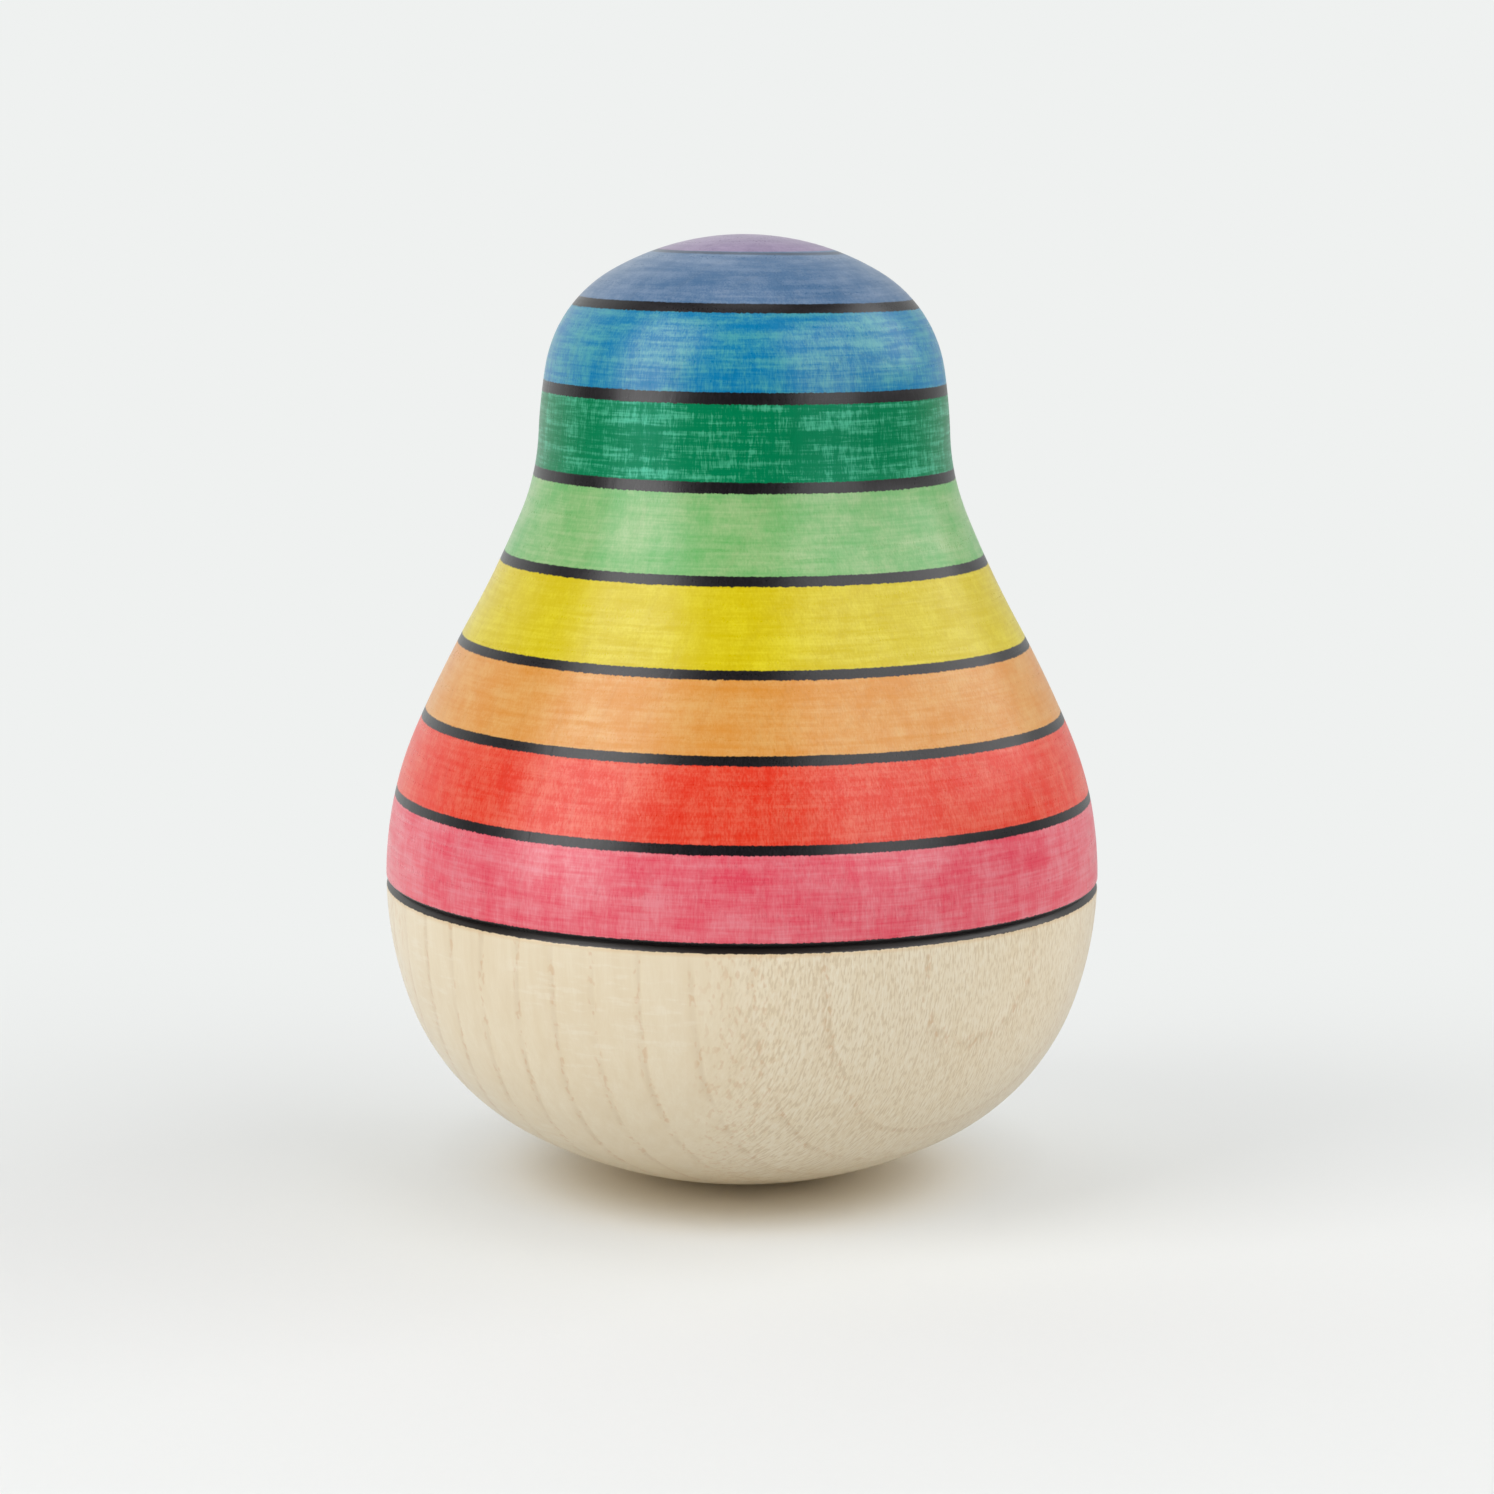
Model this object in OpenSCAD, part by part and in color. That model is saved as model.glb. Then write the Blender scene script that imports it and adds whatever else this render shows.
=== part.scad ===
// Wobble pear: a turned maple roly-poly that also spins on its round foot.
// Five pieces: a lower bowl that holds a steel core, a cork pad and a plug, and an
// upper body whose tenon closes the bowl. The coloured rings are stain and ink in
// the wood of the upper body and add no thickness.
// Z is the turning axis, Z = 0 is the point it rests on. Lengths are in mm.

/* [Outline, from the foot up] */
// Greatest radius of the belly
belly_r = 32; // [31:0.25:33]
// Radius of the round foot that it rocks on
foot_arc = 42; // [40:0.5:44]
// Radius of the little flat at the very bottom, where the turner's nub was sanded off
foot_flat = 2.5; // [2.3:0.1:3]
// Slope of the outline where the foot ends, in degrees from level
foot_turn = 29.4; // [28:0.1:31]
// Radius of the hip between the foot and the belly
hip_arc = 21; // [20:0.5:22]
// Slope where the hip ends
hip_turn = 70.4; // [68:0.1:73]
// Slope where the belly ends
belly_turn = 113.8; // [112:0.1:115]
// Radius of the nearly straight flank
flank_arc = 120; // [80:5:200]
// Slope where the flank ends
flank_turn = 118.9; // [117:0.1:120]
// Radius of the hollow slope that leads into the waist
slope_arc = 100; // [60:5:140]
// Slope where the hollow slope ends
slope_turn = 112.8; // [110:0.1:115]
// Radius of the waist
waist_arc = 20.5; // [18:0.5:24]
// Slope where the waist ends
waist_turn = 92.5; // [91:0.1:95]
// Radius of the cheek, the upright side of the head
cheek_arc = 50; // [40:5:70]
// Slope where the cheek ends
cheek_turn = 99.2; // [97:0.1:102]
// Radius of the brow, where the head turns over
brow_arc = 12; // [10:0.5:14]
// Slope where the brow ends and the crown begins
brow_turn = 149.8; // [147:0.1:152]

/* [Rings] */
// Height of the joint between the two wooden halves
seam_z = 27.3; // [26:0.1:29]
// Height of the ink line between pink and red
pink_top = 35.3; // [34:0.1:37]
// Height of the ink line between red and orange
red_top = 42.3; // [41:0.1:44]
// Height of the ink line between orange and yellow
orange_top = 48.95; // [48:0.05:51]
// Height of the ink line between yellow and light green
yellow_top = 56.3; // [55:0.1:58]
// Height of the ink line between light green and dark green
light_green_top = 63.85; // [62:0.05:66]
// Height of the ink line between dark green and blue
dark_green_top = 71.3; // [70:0.1:73]
// Height of the ink line between blue and indigo
blue_top = 78.7; // [77:0.1:80]
// Height of the ink line round the purple crown
indigo_top = 83.15; // [82:0.05:83.8]
// Width of an ink line, measured along the surface
ink_w = 0.92; // [0.4:0.02:1.2]

/* [Seam groove] */
// Width of the V groove turned over the joint
groove_w = 0.9; // [0.6:0.1:1.4]
// Depth of the V groove
groove_d = 0.4; // [0.2:0.05:0.7]

/* [Joint] */
// Radius of the socket in the bowl's rim
socket_r = 23; // [22:0.5:25]
// Depth of the socket below the seam
socket_d = 4.6; // [4:0.1:6]
// Chamfer on the end of the tenon
tenon_chamfer = 0.6; // [0.3:0.1:1]
// Gap for glue round the tenon, the plug and under the tenon
glue_gap = 0.05; // [0.02:0.01:0.1]

/* [Steel core] */
// Radius of the pocket that holds the core
pocket_r = 20; // [18:0.5:20.5]
// Thickness of wood under the core, on the axis
floor_t = 7.2; // [6.8:0.1:9]
// Height of the core
core_h = 11.5; // [9:0.5:12]
// Chamfer on the core's lower edge, which keeps the bowl thick there
core_chamfer = 3; // [2:0.5:4]
// Chamfer on the core's upper edge
core_top_chamfer = 0.8; // [0.3:0.1:1.5]
// Gap round the core
core_gap = 0.1; // [0.05:0.05:0.3]
// Thickness of the cork pad that stops the core from rattling
pad_t = 1; // [0.5:0.1:1.5]
// Gap round the cork pad
pad_gap = 0.3; // [0.1:0.1:0.6]
// Chamfer on the lower edge of the plug
plug_chamfer = 0.4; // [0.2:0.1:0.8]
// Radius of the mark that the drill's centre spur leaves in the pocket floor
spur_r = 1.2; // [0.8:0.1:2]
// Depth of the spur mark
spur_d = 1.4; // [1:0.1:2]

/* [Hidden] */
// Largest distance between an arc and the chords that stand for it
chord_error = 0.01;
$fn = 180;

// Points and directions of the outline. A slope of 0 runs out level from the foot,
// 90 goes straight up and 180 runs in level over the crown. A hollow arc turns back,
// so its radius is taken as negative.
function arc_point(start, r, from, to) = start + r * [sin(to) - sin(from), cos(from) - cos(to)];
function arc(start, r, from, to) =
    let (turn = 2 * acos(1 - chord_error / abs(r)), steps = ceil(abs(to - from) / turn))
    [for (k = [0:steps - 1]) arc_point(start, r, from, from + (to - from) * k / steps)];

// The foot's arc begins at the edge of the flat, at the slope it has there
foot_start = [foot_flat, 0];
flat_turn = asin(foot_flat / foot_arc);
hip_start = arc_point(foot_start, foot_arc, flat_turn, foot_turn);
belly_start = arc_point(hip_start, hip_arc, foot_turn, hip_turn);
// The belly's arc is the one that reaches belly_r where the outline is upright
belly_arc = (belly_r - belly_start.x) / (1 - sin(hip_turn));
flank_start = arc_point(belly_start, belly_arc, hip_turn, belly_turn);
slope_start = arc_point(flank_start, flank_arc, belly_turn, flank_turn);
waist_start = arc_point(slope_start, -slope_arc, flank_turn, slope_turn);
cheek_start = arc_point(waist_start, -waist_arc, slope_turn, waist_turn);
brow_start = arc_point(cheek_start, cheek_arc, waist_turn, cheek_turn);
crown_start = arc_point(brow_start, brow_arc, cheek_turn, brow_turn);
// The crown's arc is the one that ends level on the axis
crown_arc = crown_start.x / sin(brow_turn);
height = crown_start.y + crown_arc * (1 + cos(brow_turn));

outline = concat(
    [[0, 0]],
    arc(foot_start, foot_arc, flat_turn, foot_turn),
    arc(hip_start, hip_arc, foot_turn, hip_turn),
    arc(belly_start, belly_arc, hip_turn, belly_turn),
    arc(flank_start, flank_arc, belly_turn, flank_turn),
    arc(slope_start, -slope_arc, flank_turn, slope_turn),
    arc(waist_start, -waist_arc, slope_turn, waist_turn),
    arc(cheek_start, cheek_arc, waist_turn, cheek_turn),
    arc(brow_start, brow_arc, cheek_turn, brow_turn),
    arc(crown_start, crown_arc, brow_turn, 180),
    [[0, height]]
);
function outline_r(z) = lookup(z, [for (p = outline) [p.y, p.x]]);
function outline_between(low, high) = concat(
    [[outline_r(low), low]],
    [for (p = outline) if (p.y > low && p.y < high) p],
    [[outline_r(high), high]]
);

// Heights inside the bowl, from the pocket floor up
core_top = floor_t + core_h;
pad_top = core_top + pad_t;
socket_z = seam_z - socket_d;
tenon_z = socket_z + 2 * glue_gap;
tenon_r = socket_r - glue_gap;
groove_low = seam_z - groove_w / 2;
groove_high = seam_z + groove_w / 2;
groove_floor = outline_r(seam_z) - groove_d;

// Each ring runs up to its ink line, and the crown's runs to the top
ring_tops = [
    pink_top, red_top, orange_top, yellow_top,
    light_green_top, dark_green_top, blue_top, indigo_top, height
];
ring_colours = [
    "palevioletred", "tomato", "sandybrown", "gold",
    "lightgreen", "seagreen", "steelblue", "slateblue", "mediumpurple"
];
crown_ring = len(ring_tops) - 1;
// A line is ink_w wide along the surface, so it is less high where the surface lies flat
function ink_h(z) =
    let (rise = 0.2, run = outline_r(z + rise / 2) - outline_r(z - rise / 2))
    ink_w * rise / norm([rise, run]);
function ring_low(i) = i == 0 ? groove_high : ring_tops[i - 1] + ink_h(ring_tops[i - 1]) / 2;
function ring_high(i) = i == crown_ring ? height : ring_tops[i] - ink_h(ring_tops[i]) / 2;

// A slice of the solid pear between two heights
module slice(low, high) {
    edge = outline_between(low, high);
    top = high < height ? [[0, high]] : [];
    rotate_extrude() polygon(concat([[0, low]], edge, top));
}

module tenon() {
    rotate_extrude() polygon([
        [0, tenon_z],
        [tenon_r - tenon_chamfer, tenon_z],
        [tenon_r, tenon_z + tenon_chamfer],
        [tenon_r, seam_z],
        [groove_floor, seam_z],
        [outline_r(groove_high), groove_high],
        [0, groove_high]
    ]);
}

module upper_body() {
    color("burlywood") tenon();
    for (i = [0:crown_ring]) {
        color(ring_colours[i]) slice(ring_low(i), ring_high(i));
        if (i < crown_ring) color("black") slice(ring_high(i), ring_low(i + 1));
    }
}

module lower_bowl() {
    color("blanchedalmond") rotate_extrude() polygon(concat(
        [for (p = outline) if (p.y < groove_low) p],
        [
            [outline_r(groove_low), groove_low],
            [groove_floor, seam_z],
            [socket_r, seam_z],
            [socket_r, socket_z],
            [pocket_r, socket_z],
            [pocket_r, floor_t + core_chamfer],
            [pocket_r - core_chamfer, floor_t],
            [spur_r, floor_t],
            [0, floor_t - spur_d]
        ]
    ));
}

module steel_core() {
    r = pocket_r - core_gap;
    color("slategray") rotate_extrude() polygon([
        [0, floor_t],
        [r - core_chamfer, floor_t],
        [r, floor_t + core_chamfer],
        [r, core_top - core_top_chamfer],
        [r - core_top_chamfer, core_top],
        [0, core_top]
    ]);
}

module cork_pad() {
    color("peru") translate([0, 0, core_top]) cylinder(r = pocket_r - pad_gap, h = pad_t);
}

module core_plug() {
    r = pocket_r - glue_gap;
    color("wheat") rotate_extrude() polygon([
        [0, pad_top],
        [r - plug_chamfer, pad_top],
        [r, pad_top + plug_chamfer],
        [r, socket_z],
        [0, socket_z]
    ]);
}

upper_body();
lower_bowl();
steel_core();
cork_pad();
core_plug();
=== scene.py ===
"""The looks of the wobble pear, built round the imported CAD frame.

Two turned maple pieces, a natural bowl and a stained upper body, hide a steel core, a
cork pad and a wooden plug. Lengths named in millimetres are turned into metres by MM
where a mesh or a light is made. Shaders work in millimetres of the row frame.
"""

import math
from collections import namedtuple

import bpy
from mathutils import Euler, Matrix, Vector, noise


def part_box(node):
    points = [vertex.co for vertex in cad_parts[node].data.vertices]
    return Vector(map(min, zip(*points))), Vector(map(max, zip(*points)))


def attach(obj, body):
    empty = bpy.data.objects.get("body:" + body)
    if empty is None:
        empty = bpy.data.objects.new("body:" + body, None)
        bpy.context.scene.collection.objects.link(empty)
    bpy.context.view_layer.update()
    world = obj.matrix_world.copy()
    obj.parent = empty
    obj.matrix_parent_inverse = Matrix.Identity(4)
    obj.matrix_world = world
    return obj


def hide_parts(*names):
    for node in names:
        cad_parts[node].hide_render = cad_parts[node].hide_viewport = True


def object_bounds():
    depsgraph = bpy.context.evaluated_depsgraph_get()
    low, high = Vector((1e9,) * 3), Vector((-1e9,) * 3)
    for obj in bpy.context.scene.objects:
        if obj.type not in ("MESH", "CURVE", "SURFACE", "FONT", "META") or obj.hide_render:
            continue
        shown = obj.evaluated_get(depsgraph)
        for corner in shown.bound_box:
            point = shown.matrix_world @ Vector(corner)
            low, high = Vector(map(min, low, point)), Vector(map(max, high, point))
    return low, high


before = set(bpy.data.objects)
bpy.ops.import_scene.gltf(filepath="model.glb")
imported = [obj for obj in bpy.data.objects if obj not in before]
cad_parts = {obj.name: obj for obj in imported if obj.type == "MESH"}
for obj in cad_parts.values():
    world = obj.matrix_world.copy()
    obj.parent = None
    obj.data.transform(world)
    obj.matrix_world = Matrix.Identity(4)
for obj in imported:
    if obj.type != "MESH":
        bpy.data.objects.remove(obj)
cad_low, cad_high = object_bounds()

MM = 0.001

# ---------------------------------------------------------------- sizes, in millimetres

# The outline from the foot to the crown: each arc's radius, and the slope where it ends.
# A slope of 0 runs out level, 90 goes straight up and 180 runs in level. A hollow arc has
# a negative radius. None is worked out: the belly's arc reaches the CAD's greatest
# radius, and the crown's arc closes on the axis. The foot has a small flat in its middle.
OUTLINE_ARCS = (
    (42.0, 29.4),
    (21.0, 70.4),
    (None, 113.8),
    (120.0, 118.9),
    (-100.0, 112.8),
    (-20.5, 92.5),
    (50.0, 99.2),
    (12.0, 149.8),
    (None, 180.0),
)
FOOT_FLAT = 2.5

# The longest step between two points of the outline, and the number of points round it.
# The hidden discs get by with fewer.
OUTLINE_STEP = 0.8
SEGMENTS = 720
DISC_SEGMENTS = 256
# The number of rings of faces across the flat of a disc
DISC_ROWS = 12
# Edges that turn by more degrees than this are shaded sharp
SHARP_ANGLE = 28

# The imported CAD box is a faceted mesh's and a hair too narrow, so the radius is rounded
BELLY_R = round((cad_high.x - cad_low.x) / 2 / MM, 1)
HEIGHT = cad_high.z / MM
SEAM_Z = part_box("lower_bowl")[1].z / MM
TENON_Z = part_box("upper_body")[0].z / MM
CORE_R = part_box("steel_core")[1].x / MM
CORE_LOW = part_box("steel_core")[0].z / MM
CORE_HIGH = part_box("steel_core")[1].z / MM
PAD_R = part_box("cork_pad")[1].x / MM
PAD_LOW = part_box("cork_pad")[0].z / MM
PAD_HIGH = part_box("cork_pad")[1].z / MM
PLUG_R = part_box("core_plug")[1].x / MM
PLUG_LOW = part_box("core_plug")[0].z / MM
PLUG_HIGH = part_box("core_plug")[1].z / MM

# The V groove over the joint, and how far from each lip the outline's own points begin
GROOVE_W = 0.9
GROOVE_D = 0.4
LIP_MARGIN = 0.3

# The joint's faces and the slug, as the CAD has them
SOCKET_R = 23.0
POCKET_R = 20.0
GLUE_GAP = 0.05
TENON_CHAMFER = 0.6
CORE_CHAMFER = 3.0
CORE_TOP_CHAMFER = 0.8
PLUG_CHAMFER = 0.4
PAD_CHAMFER = 0.08
SPUR_R = 1.2
SPUR_D = 1.4

# How the turned surface strays from a true circle: how far it is oval, how far it is
# uneven, and how much is taken off so that it stays inside the CAD's outline
OVAL = 0.035
UNEVEN = 0.02
TAKEN_OFF = 0.03

# The rings from the belly up: the height where the ring ends, the ink line's tilt there
# in millimetres of rise per millimetre to the right, and its width, then what the stain is
# like: its colour where the wood drank little and where it drank much, how far the strokes
# of the turning show in it, how far the upright fibres do, and how much was drunk on the
# whole. The crown has no line at its end, which lies above the toy.
Ring = namedtuple("Ring", "top tilt width thin deep strokes fibres drunk")
RING_ROWS = (
    (35.3, -0.0024, 0.86, (0.74, 0.215, 0.250), (0.71, 0.056, 0.095), 0.42, 0.36, 0.55),
    (42.3, -0.0012, 0.89, (0.755, 0.140, 0.080), (0.715, 0.030, 0.009), 0.30, 0.50, 0.63),
    (48.95, -0.0024, 0.88, (0.70, 0.372, 0.114), (0.655, 0.258, 0.038), 0.34, 0.36, 0.57),
    (56.3, -0.0023, 0.94, (0.70, 0.590, 0.010), (0.605, 0.472, 0.0), 0.50, 0.48, 0.66),
    (63.85, -0.0028, 0.96, (0.34, 0.505, 0.228), (0.125, 0.405, 0.110), 0.32, 0.26, 0.57),
    (71.3, -0.0044, 1.00, (0.060, 0.395, 0.222), (0.0, 0.188, 0.070), 1.00, 0.85, 0.81),
    (78.7, -0.0047, 1.00, (0.055, 0.325, 0.375), (0.0, 0.180, 0.385), 0.66, 0.60, 0.62),
    (83.1, -0.0090, 0.62, (0.165, 0.245, 0.375), (0.063, 0.146, 0.278), 0.48, 0.42, 0.60),
    (90.0, 0.0, 0.0, (0.32, 0.235, 0.385), (0.195, 0.138, 0.265), 0.35, 0.35, 0.55),
)
RINGS = [Ring(*row) for row in RING_ROWS]
DARK_GREEN_LOW, DARK_GREEN_HIGH = RINGS[4].top, RINGS[5].top
# Where the crown's steepness is taken, because its own end lies above the toy
CROWN_Z = 84.0

# The tree's pith stands outside the toy, beyond its right front, and leans a little. Its
# place is given at one height, the lean per millimetre of height, then the width of a
# year's ring and where in the year the pith's own place falls.
PITH_AT_Z = 20.0
PITH = (82.7, -95.8)
PITH_LEAN = (-0.11, -0.24)
GROWTH_RING = 3.95
GROWTH_PHASE = 0.33
# The height about which the bowl is nearly a sphere
BOWL_MIDDLE_Z = 31.0
# A ray fleck's depth toward the pith, its thickness and its height
RAY = (1.4, 0.18, 0.72)

# ---------------------------------------------------------------- meshes


def outline_points():
    """The outline's (radius, height) pairs from the foot to the crown."""
    r, z = FOOT_FLAT, 0.0
    slope = math.degrees(math.asin(FOOT_FLAT / OUTLINE_ARCS[0][0]))
    points = [(0.0, z), (r, z)]
    for radius, end in OUTLINE_ARCS:
        a, b = math.radians(slope), math.radians(end)
        if radius is None and end == 180.0:
            radius = r / math.sin(a)
        elif radius is None:
            radius = (BELLY_R - r) / (1 - math.sin(a))
        steps = max(3, math.ceil(abs(radius * (b - a)) / OUTLINE_STEP))
        for k in range(1, steps + 1):
            t = a + (b - a) * k / steps
            points.append(
                (
                    r + radius * (math.sin(t) - math.sin(a)),
                    z + radius * (math.cos(a) - math.cos(t)),
                )
            )
        r, z = points[-1]
        slope = end
    points[-1] = (0.0, points[-1][1])
    return points


OUTLINE = outline_points()


def outline_r(z):
    """The outline's radius at a height."""
    for (r0, z0), (r1, z1) in zip(OUTLINE, OUTLINE[1:]):
        if z0 <= z <= z1:
            return r0 + (r1 - r0) * (z - z0) / max(z1 - z0, 1e-9)
    return 0.0


def outline_steepness(z):
    """How far the surface rises per millimetre along it at a height: 1 where it is upright."""
    rise = 0.2
    return rise / math.hypot(rise, outline_r(z + rise / 2) - outline_r(z - rise / 2))


def lathe(name, profile, material, segments=SEGMENTS, waver=None):
    """A closed solid turned round Z. The profile runs from the axis, along the surface with
    the solid on its left, and back to the axis. waver(angle, r, z) is added to the radius."""
    verts, faces = [(0, 0, profile[0][1])], []
    for r, z in profile[1:-1]:
        for k in range(segments):
            a = 2 * math.pi * k / segments
            rr = r + (waver(a, r, z) if waver else 0.0)
            verts.append((rr * math.cos(a), rr * math.sin(a), z))
    verts.append((0, 0, profile[-1][1]))
    rings = len(profile) - 2
    for k in range(segments):
        k1 = (k + 1) % segments
        faces.append((0, 1 + k1, 1 + k))
        last = 1 + (rings - 1) * segments
        faces.append((last + k, last + k1, len(verts) - 1))
    for i in range(rings - 1):
        low, high = 1 + i * segments, 1 + (i + 1) * segments
        for k in range(segments):
            k1 = (k + 1) % segments
            faces.append((low + k, low + k1, high + k1, high + k))
    mesh = bpy.data.meshes.new(name)
    mesh.from_pydata([[c * MM for c in v] for v in verts], [], faces)
    mesh.shade_smooth()
    mesh.set_sharp_from_angle(angle=math.radians(SHARP_ANGLE))
    piece = bpy.data.objects.new(name, mesh)
    bpy.context.scene.collection.objects.link(piece)
    mesh.materials.append(material)
    return piece


def turned_waver(a, r, z):
    """The hand-turned surface: a hair out of round, and softly uneven from ring to ring.
    The faces inside the joint stay true."""
    if r > outline_r(z) + 0.01 or r < outline_r(z) - 0.6:
        return 0.0
    oval = OVAL * math.cos(2 * a + 0.8)
    spot = Vector((1.6 * math.cos(a), 1.6 * math.sin(a), z / 4.0))
    # Near the axis it fades out, because the radius there is too small to stray
    return min(r / 12.0, 1.0) * (oval + UNEVEN * noise.noise(spot) - TAKEN_OFF)


def upper_profile():
    """From the middle of the tenon's end, round the shoulder and the groove to the crown.
    Here and below, points close to an edge round it over by a hair."""
    tenon_r = SOCKET_R - GLUE_GAP
    lip = SEAM_Z + GROOVE_W / 2
    lip_r = outline_r(lip)
    floor_r = outline_r(SEAM_Z) - GROOVE_D
    steps = 8
    inner = [(tenon_r - TENON_CHAMFER) * k / steps for k in range(steps + 1)]
    # The shoulder lies this far above the bowl's rim, so that the two faces don't coincide
    shoulder = SEAM_Z + 0.001
    profile = [(r, TENON_Z) for r in inner]
    profile += [(tenon_r, TENON_Z + TENON_CHAMFER), (tenon_r, SEAM_Z - 0.4)]
    profile += [(tenon_r - 0.15, SEAM_Z), (tenon_r + 0.2, shoulder), (27.0, shoulder)]
    profile += [(floor_r - 0.02, shoulder), (floor_r + 0.02, SEAM_Z + 0.04)]
    profile += [(lip_r - 0.09, lip - 0.12), (lip_r - 0.03, lip - 0.03), (lip_r, lip + 0.06)]
    return profile + [p for p in OUTLINE if p[1] > lip + LIP_MARGIN]


def bowl_profile():
    """From the foot, up the outside, over the groove and down through the socket and pocket."""
    lip = SEAM_Z - GROOVE_W / 2
    lip_r = outline_r(lip)
    floor_r = outline_r(SEAM_Z) - GROOVE_D
    socket_z = PLUG_HIGH
    profile = [p for p in OUTLINE if p[1] < lip - LIP_MARGIN]
    profile += [(lip_r, lip - 0.06), (lip_r - 0.03, lip + 0.03), (lip_r - 0.09, lip + 0.12)]
    profile += [(floor_r + 0.02, SEAM_Z - 0.04), (floor_r - 0.02, SEAM_Z), (27.0, SEAM_Z)]
    profile += [(SOCKET_R + 0.2, SEAM_Z), (SOCKET_R, SEAM_Z - 0.2), (SOCKET_R, socket_z)]
    profile += [(POCKET_R + 0.15, socket_z), (POCKET_R, socket_z - 0.15)]
    profile += [(POCKET_R, CORE_LOW + CORE_CHAMFER), (POCKET_R - CORE_CHAMFER, CORE_LOW)]
    profile += [(12.0, CORE_LOW), (SPUR_R, CORE_LOW), (0.0, CORE_LOW - SPUR_D)]
    return profile


def core_profile():
    """A slug of bar, faced and chamfered, with a centre drilled in its upper face."""
    low, high, r = CORE_LOW, CORE_HIGH, CORE_R
    flat = r - CORE_CHAMFER
    profile = [(flat * k / 6, low) for k in range(7)]
    profile += [(flat + 0.1, low + 0.03), (r - 0.08, low + CORE_CHAMFER - 0.1)]
    profile += [(r, low + CORE_CHAMFER + 0.1), (r, high - CORE_TOP_CHAMFER - 0.1)]
    profile += [(r - 0.06, high - CORE_TOP_CHAMFER)]
    profile += [(r - CORE_TOP_CHAMFER, high - 0.05), (r - CORE_TOP_CHAMFER - 0.1, high)]
    profile += [(14.0, high), (10.0, high), (6.0, high), (1.65, high), (1.55, high - 0.08)]
    return profile + [(0.6, high - 1.7), (0.55, high - 2.6), (0.0, high - 2.9)]


def disc_profile(radius, low, high, chamfer):
    """A flat disc whose edges are broken by a chamfer."""
    flat = [(radius - chamfer) * k / DISC_ROWS for k in range(DISC_ROWS + 1)]
    profile = [(r, low) for r in flat] + [(radius, low + chamfer), (radius, high - chamfer)]
    return profile + [(r, high) for r in reversed(flat)]


# ---------------------------------------------------------------- shader formulas


class Nodes:
    """Adds nodes to a node tree and hands back their sockets, so that a shader reads as
    formulas. Wherever a value is wanted, a number or another socket will do."""

    def __init__(self, tree):
        self.tree = tree

    def add(self, kind, inputs=(), **settings):
        node = self.tree.nodes.new(kind)
        for key, value in settings.items():
            setattr(node, key, value)
        for key, value in dict(inputs).items():
            self.feed(node.inputs[key], value)
        return node

    def feed(self, socket, value):
        if isinstance(value, bpy.types.NodeSocket):
            self.tree.links.new(value, socket)
        elif isinstance(value, (tuple, list)) and socket.type == "RGBA":
            socket.default_value = (*value, 1.0)
        else:
            socket.default_value = value

    def math(self, operation, *values):
        return self.add("ShaderNodeMath", enumerate(values), operation=operation).outputs[0]

    def total(self, *values):
        out = values[0]
        for value in values[1:]:
            out = self.math("ADD", out, value)
        return out

    def times(self, *values):
        out = values[0]
        for value in values[1:]:
            out = self.math("MULTIPLY", out, value)
        return out

    def minus(self, a, b):
        return self.math("SUBTRACT", a, b)

    def vector(self, x, y, z):
        return self.add("ShaderNodeCombineXYZ", {0: x, 1: y, 2: z}).outputs[0]

    def smooth(self, value, low, high, to_low=0.0, to_high=1.0):
        """to_low below low, to_high above high, and a soft step between them."""
        inputs = {0: value, 1: low, 2: high, 3: to_low, 4: to_high}
        return self.add("ShaderNodeMapRange", inputs, interpolation_type="SMOOTHSTEP").outputs[0]

    def mix(self, factor, a, b, blend="MIX"):
        """Between two colours."""
        inputs = {0: factor, 6: a, 7: b}
        node = self.add("ShaderNodeMix", inputs, data_type="RGBA", blend_type=blend)
        return node.outputs[2]

    def blend(self, factor, a, b):
        """Between two values."""
        return self.add("ShaderNodeMix", {0: factor, 2: a, 3: b}).outputs[0]

    def noise(self, vector, detail=2.0, roughness=0.5):
        inputs = {"Vector": vector, "Scale": 1.0, "Detail": detail, "Roughness": roughness}
        return self.add("ShaderNodeTexNoise", inputs).outputs["Fac"]

    def cells(self, vector, feature="F1"):
        inputs = {"Vector": vector, "Scale": 1.0}
        return self.add("ShaderNodeTexVoronoi", inputs, feature=feature)

    def parts(self, colour):
        """A colour's red, green and blue, as three values."""
        return self.add("ShaderNodeSeparateColor", {0: colour}).outputs

    def bump(self, height):
        """The normal of a surface with this relief, given in millimetres."""
        inputs = {"Strength": 1.0, "Distance": MM, "Height": height}
        return self.add("ShaderNodeBump", inputs).outputs[0]

    def steps(self, value, stops):
        """The colour of the last stop that the value, from 0 to 1, has passed."""
        node = self.add("ShaderNodeValToRGB", {0: value})
        ramp = node.color_ramp
        ramp.interpolation = "CONSTANT"
        while len(ramp.elements) < len(stops):
            ramp.elements.new(1.0)
        for element, (place, _) in zip(ramp.elements, stops):
            element.position = place
        for element, (_, colour) in zip(ramp.elements, stops):
            element.color = (*colour, 1.0)
        return node.outputs[0]


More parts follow.
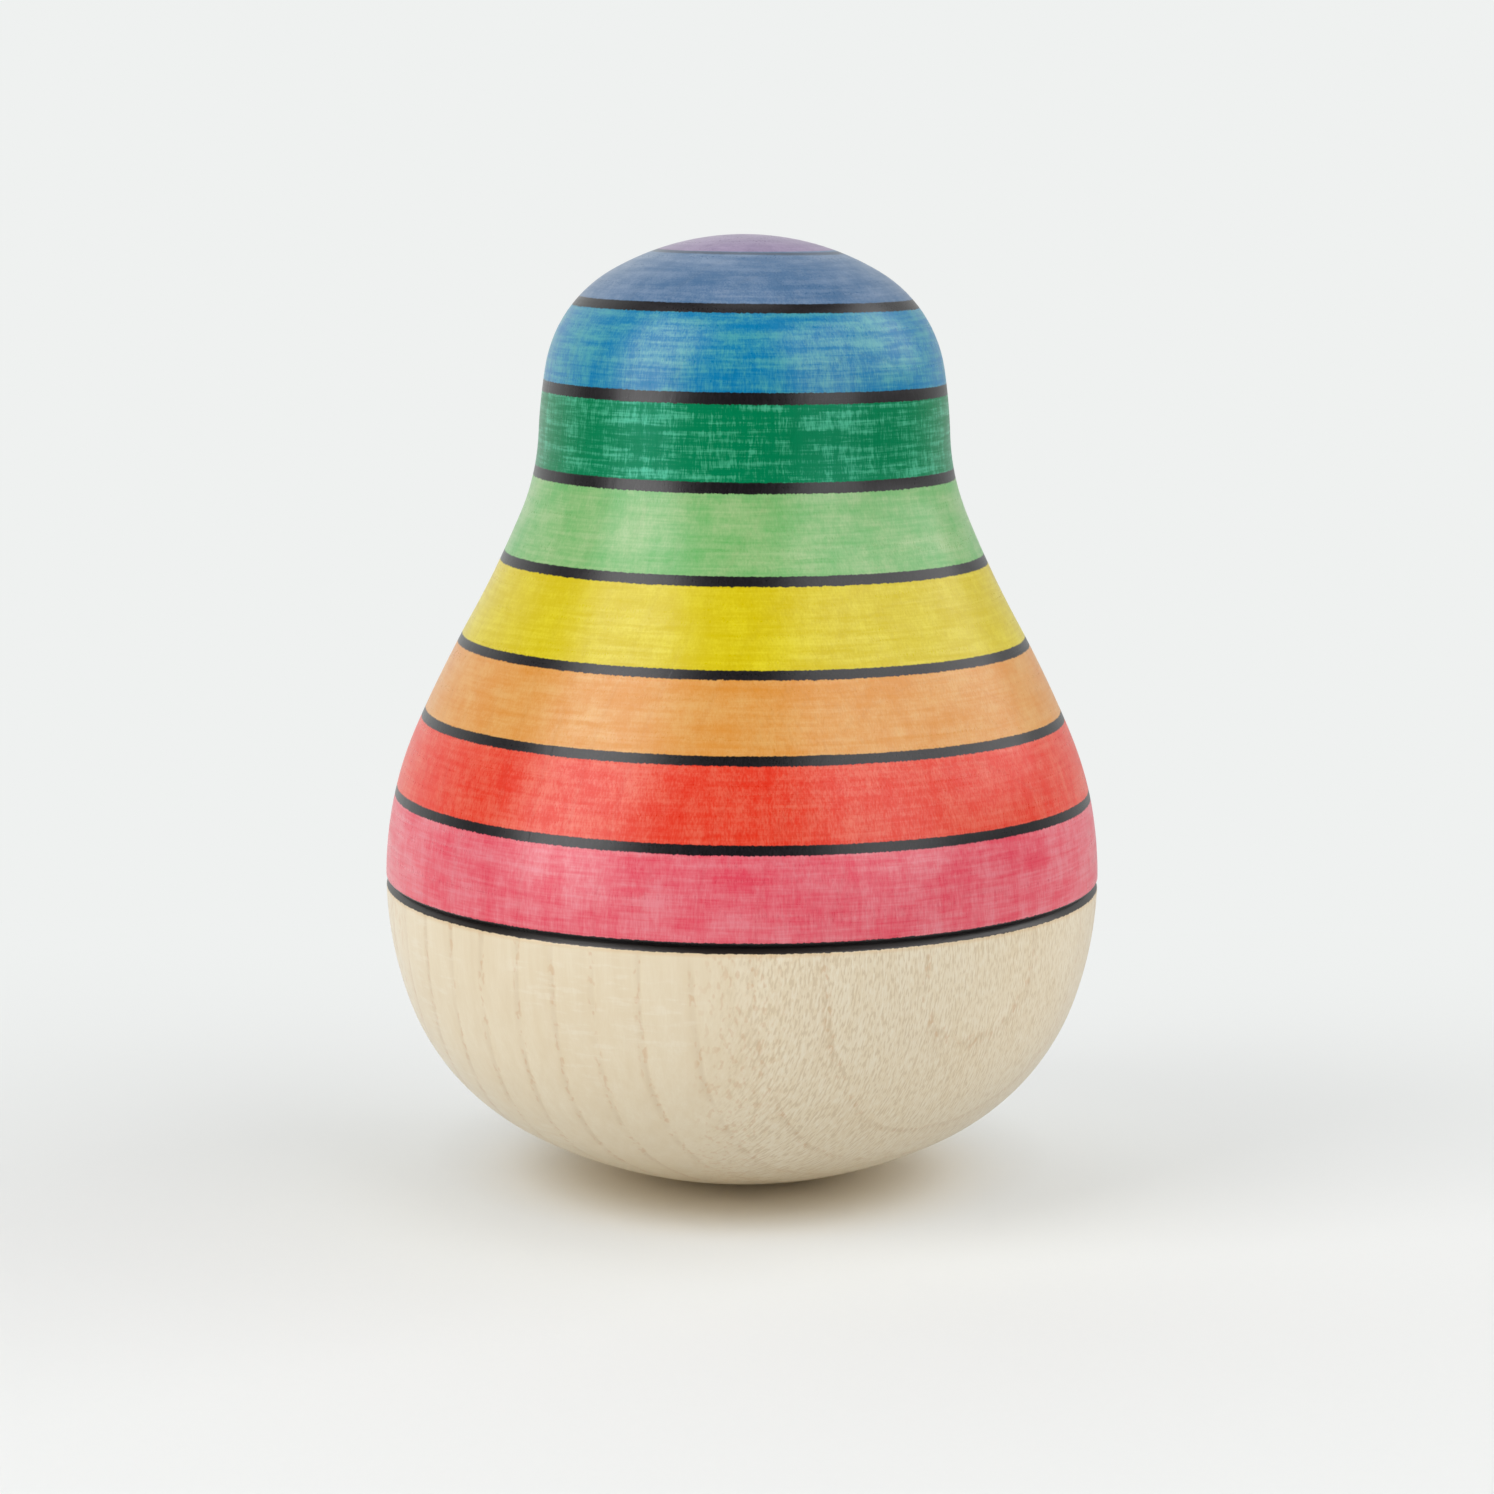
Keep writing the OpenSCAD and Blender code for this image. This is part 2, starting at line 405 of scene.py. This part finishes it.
class Place:
    """Where a shaded point is, in millimetres of the row frame."""

    def __init__(self, n):
        coords = n.add("ShaderNodeTexCoord").outputs["Object"]
        scaled = n.add("ShaderNodeVectorMath", {0: coords, 3: 1 / MM}, operation="SCALE").outputs[0]
        split = n.add("ShaderNodeSeparateXYZ", {0: scaled})
        self.n = n
        self.x, self.y, self.z = split.outputs
        self.r = n.math("SQRT", n.total(n.times(self.x, self.x), n.times(self.y, self.y)))

    def stretched(self, across, along, shift=0.0):
        """Coordinates for a noise whose grains are this wide across Z and this long along it.
        Each noise has a shift of its own, so that no two have the same pattern."""
        n = self.n
        x = n.math("MULTIPLY_ADD", self.x, 1 / across, shift)
        y = n.math("MULTIPLY_ADD", self.y, 1 / across, shift)
        return n.vector(x, y, n.math("MULTIPLY_ADD", self.z, 1 / along, shift))


def new_material(name):
    """A material with a bare Principled shader: (material, node adder, shader node)."""
    material = bpy.data.materials.new(name)
    material.use_nodes = True
    n = Nodes(material.node_tree)
    return material, n, material.node_tree.nodes["Principled BSDF"]


class Grain:
    """The maple itself: growth rings round the pith, ray flecks and upright fibres."""

    def __init__(self, n, at):
        lift = n.minus(at.z, PITH_AT_Z)
        dx = n.minus(at.x, n.math("MULTIPLY_ADD", lift, PITH_LEAN[0], PITH[0]))
        dy = n.minus(at.y, n.math("MULTIPLY_ADD", lift, PITH_LEAN[1], PITH[1]))
        rho = n.math("SQRT", n.total(n.times(dx, dx), n.times(dy, dy)))
        away_x, away_y = n.minus(at.x, PITH[0]), n.minus(at.y, PITH[1])
        out = n.math("SQRT", n.total(n.times(away_x, away_x), n.times(away_y, away_y)))
        # How squarely the surface faces the pith: the rays' ends show there, and beside it
        # only their sides
        toward = n.math("ABSOLUTE", n.total(n.times(at.x, away_x), n.times(at.y, away_y)))
        facing = n.math("DIVIDE", toward, n.math("MULTIPLY_ADD", at.r, out, 0.01))
        ends = n.smooth(facing, 0.48, 0.74)

        drift = n.minus(n.noise(at.stretched(16.0, 42.0), 1.0), 0.5)
        wave = n.minus(n.noise(at.stretched(3.0, 8.0, 4.0), 1.0), 0.5)
        depth = n.total(rho, n.times(drift, 1.6), n.times(wave, 0.4))
        phase = n.math("FRACT", n.math("MULTIPLY_ADD", depth, -1 / GROWTH_RING, GROWTH_PHASE))
        # Phase runs outwards through a year: the late wood darkens, and its edge is a thin
        # line. Before and after are how far the line is along the surface, which cuts a
        # ring aslant where it faces the pith and lies low
        low = n.math("MINIMUM", n.minus(at.z, BOWL_MIDDLE_Z), 0.0)
        reach = n.math("SQRT", n.total(n.times(at.r, at.r), n.times(low, low)))
        square = n.math("DIVIDE", toward, n.math("MULTIPLY_ADD", reach, out, 0.01))
        aslant = n.math("SQRT", n.math("MAXIMUM", n.minus(1.0, n.times(square, square)), 0.06))
        before = n.math("DIVIDE", n.times(n.minus(1.0, phase), GROWTH_RING), aslant)
        after = n.math("DIVIDE", n.times(phase, GROWTH_RING), aslant)
        uneven = n.noise(at.stretched(2.2, 6.0, 9.0), 2.0)
        line = n.math("MAXIMUM", n.smooth(before, 0.75, 0.10), n.smooth(after, 0.20, 0.02))
        self.line = n.times(line, n.smooth(uneven, 0.30, 0.60))
        self.late = n.times(n.smooth(phase, 0.35, 1.0), n.smooth(uneven, 0.2, 0.8))
        near_line = n.math("MAXIMUM", n.smooth(before, 0.70, 0.25), n.smooth(after, 0.35, 0.05))
        between = n.times(n.smooth(facing, 0.46, 0.58), n.smooth(facing, 0.76, 0.66), 0.8)
        freckle = n.smooth(n.noise(at.stretched(0.45, 0.9, 19.0), 1.0), 0.55, 0.66)
        self.freckle = n.times(freckle, n.math("MAXIMUM", near_line, between))

        # Rays are thin upright plates that run out from the pith
        around = n.times(n.math("ARCTAN2", away_x, away_y), math.hypot(*PITH))
        ray = n.vector(*(n.times(a, 1 / b) for a, b in zip((out, around, at.z), RAY)))
        ray_noise = n.noise(ray, 1.0, 0.5)
        self.fleck = n.times(n.smooth(ray_noise, 0.545, 0.615), ends)
        # The gleam is painted sheen: the rays' own ends, painted paler where they would catch the
        # light
        self.gleam = n.times(n.smooth(ray_noise, 0.455, 0.385), ends)
        # The strokes are painted sheen too: pale level streaks on the rays' sides, in patches
        stroke = n.noise(at.stretched(2.6, 0.50, 23.0), 2.0, 0.55)
        patch = n.smooth(n.noise(at.stretched(9.0, 9.0, 29.0), 1.0), 0.45, 0.60)
        self.stroke = n.times(n.smooth(stroke, 0.50, 0.68), n.minus(1.0, ends), patch)
        self.fibre = n.noise(at.stretched(0.16, 2.6, 2.0), 3.0, 0.6)
        self.cloud = n.noise(at.stretched(9.0, 15.0, 7.0), 3.0, 0.55)
        self.strand = n.noise(at.stretched(0.9, 14.0, 5.0), 2.0, 0.55)


PALE_MAPLE = (0.785, 0.695, 0.528)
WARM_MAPLE = (0.715, 0.592, 0.405)
RING_BROWN = (0.520, 0.360, 0.205)
FRECKLE_ORANGE = (0.600, 0.350, 0.170)
FLECK_BROWN = (0.540, 0.400, 0.240)
# The cream of the painted sheen on the rays
PAINTED_SHEEN_CREAM = (0.820, 0.755, 0.620)
OIL_IOR = 1.46

# The groove: the amber glow of heat beside it, and the char of its lower wall, deep down
# and at the edge, and of its upper wall. Then the pen's ink where it lies thick and thin.
HEAT_AMBER = (0.62, 0.38, 0.16)
CHAR_DEEP = (0.009, 0.006, 0.005)
CHAR_EDGE = (0.013, 0.008, 0.006)
CHAR_UPPER = (0.006, 0.005, 0.005)
INK_THICK = (0.004, 0.003, 0.004)
INK_THIN = (0.013, 0.010, 0.013)
# How strong the line round the crown is, which was drawn with a nearly dry pen
DRY_PEN = 0.62
# What the oil over the dark green leaves of red, green and blue in its shine
GREEN_SHINE = (0.30, 1.0, 0.92)


def bare_wood(n, grain):
    """The colour of unstained maple."""
    tone = n.total(n.times(grain.cloud, 0.9), n.times(grain.strand, 1.1), -0.55)
    colour = n.mix(n.math("MAXIMUM", n.math("MINIMUM", tone, 1.0), 0.0), PALE_MAPLE, WARM_MAPLE)
    figures = (
        (grain.late, 0.15, RING_BROWN),
        (grain.line, 0.25, RING_BROWN),
        (grain.freckle, 0.42, FRECKLE_ORANGE),
        (grain.fleck, 0.46, FLECK_BROWN),
        # The gleam and the strokes are painted sheen, in a cream colour
        (grain.gleam, 0.48, PAINTED_SHEEN_CREAM),
        (grain.stroke, 0.34, PAINTED_SHEEN_CREAM),
    )
    for mask, strength, tint in figures:
        colour = n.mix(n.times(mask, strength), colour, tint)
    return n.mix(n.smooth(grain.fibre, 0.60, 0.38, 0.0, 0.28), colour, WARM_MAPLE)


def turning_marks(n, at):
    """Fine rings left by the tool and the sandpaper, as a height from 0 to 1."""
    fine = n.noise(at.stretched(14.0, 0.30, 1.0), 2.0, 0.6)
    broad = n.noise(at.stretched(22.0, 1.1, 3.0), 1.0)
    return n.blend(0.4, fine, broad)


def wood_surface(n, shader, at, grain, colour, roughness, gloss=0.5):
    """Satin oil over turned wood. Gloss is the shader's specular level, where 0.5 is plain."""
    marks = turning_marks(n, at)
    relief = n.total(n.times(marks, 0.010), n.times(grain.fibre, 0.006))
    relief = n.total(relief, n.times(grain.line, -0.004))
    rough = n.total(roughness, n.times(n.minus(marks, 0.5), 0.14))
    rough = n.total(rough, n.times(n.minus(grain.fibre, 0.5), 0.12))
    n.feed(shader.inputs["Base Color"], colour)
    n.feed(shader.inputs["Roughness"], rough)
    n.feed(shader.inputs["Normal"], n.bump(relief))
    n.feed(shader.inputs["Specular IOR Level"], gloss)
    shader.inputs["IOR"].default_value = OIL_IOR


def groove_mask(n, at, ragged):
    """1 inside the groove over the seam, and 0 on the skin and on the hidden joint faces."""
    off = n.math("ABSOLUTE", n.minus(at.z, SEAM_Z))
    wide = n.math("MULTIPLY_ADD", ragged, 0.16, GROOVE_W / 2 - 0.03)
    near = n.smooth(n.minus(off, wide), 0.03, -0.03)
    return n.times(near, n.smooth(at.r, BELLY_R - GROOVE_D - 0.6, BELLY_R - GROOVE_D - 0.3))


def natural_maple():
    """The bowl: bare maple, with the groove's lower wall scorched brown."""
    material, n, shader = new_material("natural_maple")
    at = Place(n)
    grain = Grain(n, at)
    colour = bare_wood(n, grain)
    ragged = n.smooth(n.noise(at.stretched(0.30, 2.0, 11.0), 2.0), 0.30, 0.80)
    groove = groove_mask(n, at, n.times(ragged, 0.5))
    glow = n.smooth(n.minus(SEAM_Z, at.z), GROOVE_W / 2 + 0.42, GROOVE_W / 2 + 0.08)
    colour = n.mix(n.times(glow, 0.35), colour, HEAT_AMBER)
    edge = n.smooth(at.r, BELLY_R - 0.33, BELLY_R - 0.12)
    colour = n.mix(groove, colour, n.mix(edge, CHAR_DEEP, CHAR_EDGE))
    wood_surface(n, shader, at, grain, colour, roughness=0.32)
    return material


def ring_value(n, at, pick, lines=False):
    """Steps through what each ring holds, by height. With lines, the steps are half way
    between the ink lines, so that each step belongs to one line."""
    tops = [SEAM_Z] + [ring.top for ring in RINGS]
    stops = []
    for i, ring in enumerate(RINGS):
        if lines:
            low = (tops[i] + tops[i + 1]) / 2 if i else 0.0
        else:
            low = tops[i] if i else 0.0
        stops.append((low / HEIGHT, pick(ring)))
    return n.steps(n.times(at.z, 1 / HEIGHT), stops)


def ink_mask(n, at):
    """1 on the ink lines. Their edges creep a little way along the fibres."""
    # A stop holds values from 0 to 1, so height and tilt are scaled into that range
    height_scale, tilt_scale = 100, 50

    def course_of(ring):
        return ring.top / height_scale, 0.5 + ring.tilt * tilt_scale, ring.width

    def slope_of(ring):
        return outline_steepness(min(ring.top, CROWN_Z)), 0.0, 0.0

    height, tilt, width = n.parts(ring_value(n, at, course_of, lines=True))
    slope = n.parts(ring_value(n, at, slope_of, lines=True))[0]
    tilt = n.times(n.minus(tilt, 0.5), 1 / tilt_scale)
    middle = n.math("MULTIPLY_ADD", height, height_scale, n.times(tilt, at.x))
    # Off is measured along the surface, so that a line is as broad where it lies flat
    off = n.math("DIVIDE", n.minus(at.z, middle), slope)
    wander = n.minus(n.noise(at.stretched(5.0, 3.0, 6.0), 1.0), 0.5)
    creep = n.minus(n.noise(at.stretched(0.24, 1.2, 13.0), 3.0, 0.6), 0.5)
    # The ink crept further down than up
    crept = n.times(creep, n.blend(n.smooth(off, -0.05, 0.05), 0.34, 0.22))
    wide = n.total(n.times(width, 0.5), crept, n.times(wander, 0.08))
    soft = n.math("DIVIDE", 0.05, slope)
    past = n.math("DIVIDE", n.minus(n.math("ABSOLUTE", off), wide), soft)
    return n.smooth(past, 1.0, -1.0)


def stained_maple():
    """The upper body: stain that the wood drank unevenly, ink lines and satin oil."""
    material, n, shader = new_material("stained_maple")
    at = Place(n)
    grain = Grain(n, at)
    thin = ring_value(n, at, lambda ring: ring.thin)
    deep = ring_value(n, at, lambda ring: ring.deep)
    # A stop holds values up to 1, so the strokes' share is halved there and doubled below
    shares = ring_value(n, at, lambda ring: (ring.strokes / 2, ring.fibres, ring.drunk))
    stroke_share, fibre_share, drunk_share = n.parts(shares)
    stroke = n.minus(n.noise(at.stretched(7.0, 0.40, 21.0), 2.0, 0.55), 0.5)
    scratch = n.minus(n.noise(at.stretched(1.8, 0.13, 31.0), 2.0, 0.5), 0.5)
    fibre = n.minus(n.noise(at.stretched(0.15, 1.0, 17.0), 3.0, 0.65), 0.5)
    pool = n.minus(n.noise(at.stretched(3.6, 2.6, 27.0), 3.0, 0.55), 0.5)
    strokes = n.times(n.total(n.times(stroke, 2.2), n.times(scratch, 0.8)), stroke_share, 2.0)
    strands = n.times(n.minus(grain.strand, 0.5), 1.5)
    fibres = n.times(n.total(n.times(fibre, 2.6), strands), fibre_share)
    drunk = n.total(drunk_share, strokes, fibres, n.times(pool, 1.1))
    colour = n.mix(n.smooth(drunk, 0.0, 1.0), thin, deep)
    ringed = n.mix(0.55, colour, RING_BROWN, "MULTIPLY")
    colour = n.mix(n.times(grain.line, 0.10), colour, ringed)
    flecked = n.mix(0.5, colour, FLECK_BROWN, "MULTIPLY")
    colour = n.mix(n.times(grain.fleck, 0.14), colour, flecked)
    # Between the last two lines the pen runs dry
    ink = n.times(ink_mask(n, at), n.smooth(at.z, 80.5, 82.0, 1.0, DRY_PEN))
    colour = n.mix(ink, colour, n.mix(n.smooth(fibre, -0.1, 0.2), INK_THICK, INK_THIN))
    ragged = n.smooth(n.noise(at.stretched(0.3, 2.0, 15.0), 2.0), 0.3, 0.8)
    groove = groove_mask(n, at, n.times(ragged, 0.6))
    colour = n.mix(groove, colour, CHAR_UPPER)
    # The tenon and the shoulder, inside the joint, were never stained
    hidden = n.times(n.smooth(at.z, SEAM_Z + 0.03, SEAM_Z + 0.01), n.minus(1.0, groove))
    colour = n.mix(hidden, colour, bare_wood(n, grain))
    # Where much stain was drunk, the oil sank in with it and shines less
    sunk = n.total(strokes, n.times(fibres, 0.6), n.math("MULTIPLY_ADD", drunk_share, 1.3, -0.74))
    sunk = n.times(sunk, n.minus(1.0, ink))
    gloss = n.smooth(sunk, 0.8, -0.8, 0.2, 0.8)
    wood_surface(n, shader, at, grain, colour, roughness=0.30, gloss=gloss)
    # The dark green is so strong that it tints the oil's shine too
    above = n.smooth(at.z, DARK_GREEN_LOW - 0.25, DARK_GREEN_LOW + 0.25)
    below = n.smooth(at.z, DARK_GREEN_HIGH + 0.2, DARK_GREEN_HIGH - 0.2)
    strong = n.times(above, below, n.minus(1.0, ink))
    n.feed(shader.inputs["Specular Tint"], n.mix(strong, (1.0, 1.0, 1.0), GREEN_SHINE))
    return material


STEEL_DULL = (0.34, 0.34, 0.35)
STEEL_BRIGHT = (0.50, 0.49, 0.47)
CORK_DARK = (0.40, 0.235, 0.115)
CORK_PALE = (0.62, 0.42, 0.24)
CORK_GAP = (0.16, 0.085, 0.045)
CORK_PORE = (0.20, 0.11, 0.06)
CORK_GRANULE = 1.3
BIRCH_DARK = (0.60, 0.44, 0.27)
BIRCH_PALE = (0.74, 0.60, 0.42)
BIRCH_PORE = (0.40, 0.26, 0.15)
BIRCH_END = (0.42, 0.27, 0.15)


def core_steel():
    """Turned bar, with the tool's fine rings and a grey film of oil."""
    material, n, shader = new_material("core_steel")
    at = Place(n)
    rings = n.noise(n.vector(n.times(at.r, 6.0), 0.0, n.times(at.z, 6.0)), 2.0)
    film = n.noise(at.stretched(6.0, 5.0), 3.0)
    n.feed(shader.inputs["Base Color"], n.mix(film, STEEL_DULL, STEEL_BRIGHT))
    n.feed(shader.inputs["Roughness"], n.total(0.26, n.times(film, 0.2), n.times(rings, 0.08)))
    n.feed(shader.inputs["Normal"], n.bump(n.times(rings, 0.03)))
    shader.inputs["Metallic"].default_value = 1.0
    return material


def pad_cork():
    """Pressed cork: packed granules with dark bark between some of them."""
    material, n, shader = new_material("pad_cork")
    at = Place(n)
    packed = at.stretched(CORK_GRANULE, CORK_GRANULE)
    shade = n.parts(n.cells(packed).outputs["Color"])[0]
    colour = n.mix(shade, CORK_DARK, CORK_PALE)
    gap = n.smooth(n.cells(packed, "DISTANCE_TO_EDGE").outputs["Distance"], 0.09, 0.02)
    colour = n.mix(gap, colour, CORK_GAP)
    pores = n.noise(at.stretched(0.3, 0.3), 3.0, 0.7)
    colour = n.mix(n.smooth(pores, 0.6, 0.75), colour, CORK_PORE)
    n.feed(shader.inputs["Base Color"], colour)
    n.feed(shader.inputs["Roughness"], n.math("MULTIPLY_ADD", pores, 0.2, 0.75))
    relief = n.minus(n.times(pores, 0.06), n.times(gap, 0.08))
    n.feed(shader.inputs["Normal"], n.bump(relief))
    return material


def plug_wood():
    """Birch ply: level grain across the disc, and three veneers at the edge."""
    material, n, shader = new_material("plug_wood")
    at = Place(n)
    grain = n.vector(n.times(at.x, 1 / 9.0), n.times(at.y, 1 / 0.45), n.times(at.z, 0.5))
    face = n.noise(grain, 3.0, 0.6)
    dashes = n.vector(n.times(at.x, 1 / 1.6), n.times(at.y, 1 / 0.12), 2.0)
    pores = n.smooth(n.noise(dashes, 1.0), 0.62, 0.74)
    colour = n.mix(face, BIRCH_DARK, BIRCH_PALE)
    colour = n.mix(n.times(pores, 0.5), colour, BIRCH_PORE)
    off_middle = n.math("ABSOLUTE", n.minus(at.z, (PLUG_LOW + PLUG_HIGH) / 2))
    core_layer = n.smooth(off_middle, 0.58, 0.50)
    edge = n.smooth(at.r, PLUG_R - 0.5, PLUG_R - 0.3)
    colour = n.mix(n.times(core_layer, edge, 0.6), colour, BIRCH_END)
    n.feed(shader.inputs["Base Color"], colour)
    n.feed(shader.inputs["Roughness"], n.math("MULTIPLY_ADD", face, 0.15, 0.6))
    relief = n.minus(n.times(face, 0.03), n.times(pores, 0.05))
    n.feed(shader.inputs["Normal"], n.bump(relief))
    return material


# ---------------------------------------------------------------- the toy


def place(piece, slot, node):
    """Rides the piece on the toy's one body, in place of a CAD node."""
    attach(piece, "root")
    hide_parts(node)


UPPER_BODY = lathe("turned_upper_body", upper_profile(), stained_maple(), waver=turned_waver)
place(UPPER_BODY, "stained_maple", "upper_body")
BOWL = lathe("turned_bowl", bowl_profile(), natural_maple(), waver=turned_waver)
place(BOWL, "natural_maple", "lower_bowl")
SLUG = lathe("steel_slug", core_profile(), core_steel(), DISC_SEGMENTS)
place(SLUG, "core_steel", "steel_core")
PAD_PROFILE = disc_profile(PAD_R, PAD_LOW, PAD_HIGH, PAD_CHAMFER)
PAD = lathe("cork_disc", PAD_PROFILE, pad_cork(), DISC_SEGMENTS)
place(PAD, "pad_cork", "cork_pad")
PLUG_PROFILE = disc_profile(PLUG_R, PLUG_LOW, PLUG_HIGH, PLUG_CHAMFER)
PLUG = lathe("plug_disc", PLUG_PROFILE, plug_wood(), DISC_SEGMENTS)
place(PLUG, "plug_wood", "core_plug")

# ---------------------------------------------------------------- floor, light and camera

BACKDROP = (0.863, 0.880, 0.871)
PAPER = (0.778, 0.790, 0.784)
PAPER_TOOTH = (0.788, 0.800, 0.794)
# Painted bounce light: the paper under the bowl is painted as warm as maple, in place of the light
# that the bowl throws on it
PAINTED_BOUNCE_WARM = (0.82, 0.71, 0.51)
FLOOR_R = 700.0


def studio_floor():
    """A pale sheet under the toy that fades into the backdrop."""
    rows, segments = 40, 96
    verts, faces = [(0, 0, 0)], []
    for i in range(1, rows + 1):
        for k in range(segments):
            a = 2 * math.pi * k / segments
            r = FLOOR_R * (i / rows) ** 2
            verts.append((r * math.cos(a) * MM, r * math.sin(a) * MM, 0.0))
    for k in range(segments):
        k1 = (k + 1) % segments
        faces.append((0, 1 + k, 1 + k1))
        for i in range(rows - 1):
            low, high = 1 + i * segments, 1 + (i + 1) * segments
            faces.append((low + k, high + k, high + k1, low + k1))
    mesh = bpy.data.meshes.new("studio_floor")
    mesh.from_pydata(verts, [], faces)
    floor = bpy.data.objects.new("studio_floor", mesh)
    bpy.context.scene.collection.objects.link(floor)
    material, n, shader = new_material("studio_paper")
    at = Place(n)
    paper = n.mix(n.noise(at.stretched(0.8, 0.8), 2.0), PAPER, PAPER_TOOTH)
    # Painted bounce light: the paper is painted warmer toward the toy's foot
    under = n.smooth(at.r, 27.0, 4.0, 0.0, 0.9)
    n.feed(shader.inputs["Base Color"], n.mix(under, paper, PAINTED_BOUNCE_WARM))
    shader.inputs["Roughness"].default_value = 0.85
    shader.inputs["Specular IOR Level"].default_value = 0.2
    # The sheet fades outwards and toward the back, but not under the toy. Toward the back the fade
    # is painted light: the backdrop's flat colour covers part of the toy's shadow there
    sheet = n.times(n.smooth(at.r, 520.0, 60.0), n.smooth(at.y, 105.0, -70.0))
    sheet = n.math("MAXIMUM", sheet, n.smooth(at.r, 50.0, 14.0))
    # The camera sees the sheet fade into the backdrop's colour, and other rays pass through
    looks = n.add("ShaderNodeLightPath").outputs["Is Camera Ray"]
    n.feed(shader.inputs["Alpha"], n.math("MAXIMUM", sheet, looks))
    backdrop = n.add("ShaderNodeEmission", {0: BACKDROP, 1: 1.0}).outputs[0]
    faded = n.times(looks, n.minus(1.0, sheet))
    both = n.add("ShaderNodeMixShader", {0: faded, 1: shader.outputs[0], 2: backdrop})
    n.tree.links.new(both.outputs[0], material.node_tree.nodes["Material Output"].inputs[0])
    mesh.materials.append(material)


def softbox(name, azimuth, elevation, distance, width, height, radiance):
    """A rectangular studio light that faces the toy. Azimuth 0 is the camera's side, 90 its
    right. Distance, width and height are in metres. Radiance is the brightness of the
    light's face, where 1 is white paper."""
    a, e = math.radians(azimuth), math.radians(elevation)
    direction = Vector((math.sin(a) * math.cos(e), -math.cos(a) * math.cos(e), math.sin(e)))
    data = bpy.data.lights.new(name, "AREA")
    data.shape = "RECTANGLE"
    data.size, data.size_y = width, height
    # Blender gives a face of one square metre a radiance of 1 at 4 W
    data.energy = radiance * 4 * width * height
    light = bpy.data.objects.new(name, data)
    light.location = direction * distance + Vector((0, 0, HEIGHT / 2 * MM))
    light.rotation_euler = direction.to_track_quat("Z", "Y").to_euler()
    bpy.context.scene.collection.objects.link(light)


ROOM_DARK = (0.08, 0.08, 0.08)
ROOM_BRIGHT = (0.86, 0.88, 0.87)


def surroundings():
    """The studio round the toy: a bright backdrop behind it, and dark behind the camera.
    What the camera itself sees beyond the floor is the pale backdrop everywhere."""
    world = bpy.data.worlds.new("studio")
    bpy.context.scene.world = world
    world.use_nodes = True
    n = Nodes(world.node_tree)
    world.node_tree.nodes.clear()
    way = n.add("ShaderNodeTexCoord").outputs["Generated"]
    split = n.add("ShaderNodeSeparateXYZ", {0: way})
    right, back, up = split.outputs
    bright = n.times(n.smooth(back, 0.1, 0.65), n.smooth(up, 0.95, 0.75))
    # The backdrop is brighter on its left
    bright = n.times(bright, n.smooth(right, -0.35, 0.35, 1.4, 0.66))
    room = n.mix(bright, ROOM_DARK, ROOM_BRIGHT)
    lit = n.add("ShaderNodeBackground", {0: room, 1: 1.0})
    seen = n.add("ShaderNodeBackground", {0: BACKDROP, 1: 1.0})
    looks = n.add("ShaderNodeLightPath").outputs["Is Camera Ray"]
    both = n.add("ShaderNodeMixShader", {0: looks, 1: lit.outputs[0], 2: seen.outputs[0]})
    out = n.add("ShaderNodeOutputWorld")
    n.tree.links.new(both.outputs[0], out.inputs[0])


# Each light's azimuth, elevation, distance, width, height and radiance
LIGHTS = {
    "softbox_left": (-58, 28, 0.95, 0.62, 1.08, 3.25),
    "softbox_right": (48, 29, 0.95, 0.64, 0.94, 2.0),
    "window_right": (98, 32, 1.05, 0.86, 0.75, 1.8),
    "softbox_top": (0, 88, 1.0, 0.45, 0.40, 1.2),
}

# Where the camera stands, its angle below level and its roll in degrees, and its lens
EYE = (0.39, -326.7, 91.8)
LOOKS_DOWN = 9.20
ROLL = 0.34
FOCAL_LENGTH = 88.7


def camera():
    """The photograph's viewpoint: a short telephoto, a little above, rolled by a hair."""
    data = bpy.data.cameras.new("camera")
    data.sensor_width = 36.0
    data.lens = FOCAL_LENGTH
    data.clip_start, data.clip_end = 0.01, 20.0
    eye = bpy.data.objects.new("camera", data)
    eye.location = Vector(EYE) * MM
    tilt = Euler((math.radians(90 - LOOKS_DOWN), 0, 0)).to_matrix()
    eye.rotation_euler = (tilt @ Matrix.Rotation(math.radians(ROLL), 3, "Z")).to_euler()
    bpy.context.scene.collection.objects.link(eye)
    bpy.context.scene.camera = eye


studio_floor()
surroundings()
for light_name, setting in LIGHTS.items():
    softbox(light_name, *setting)
camera()
bpy.context.scene.view_settings.view_transform = "Standard"
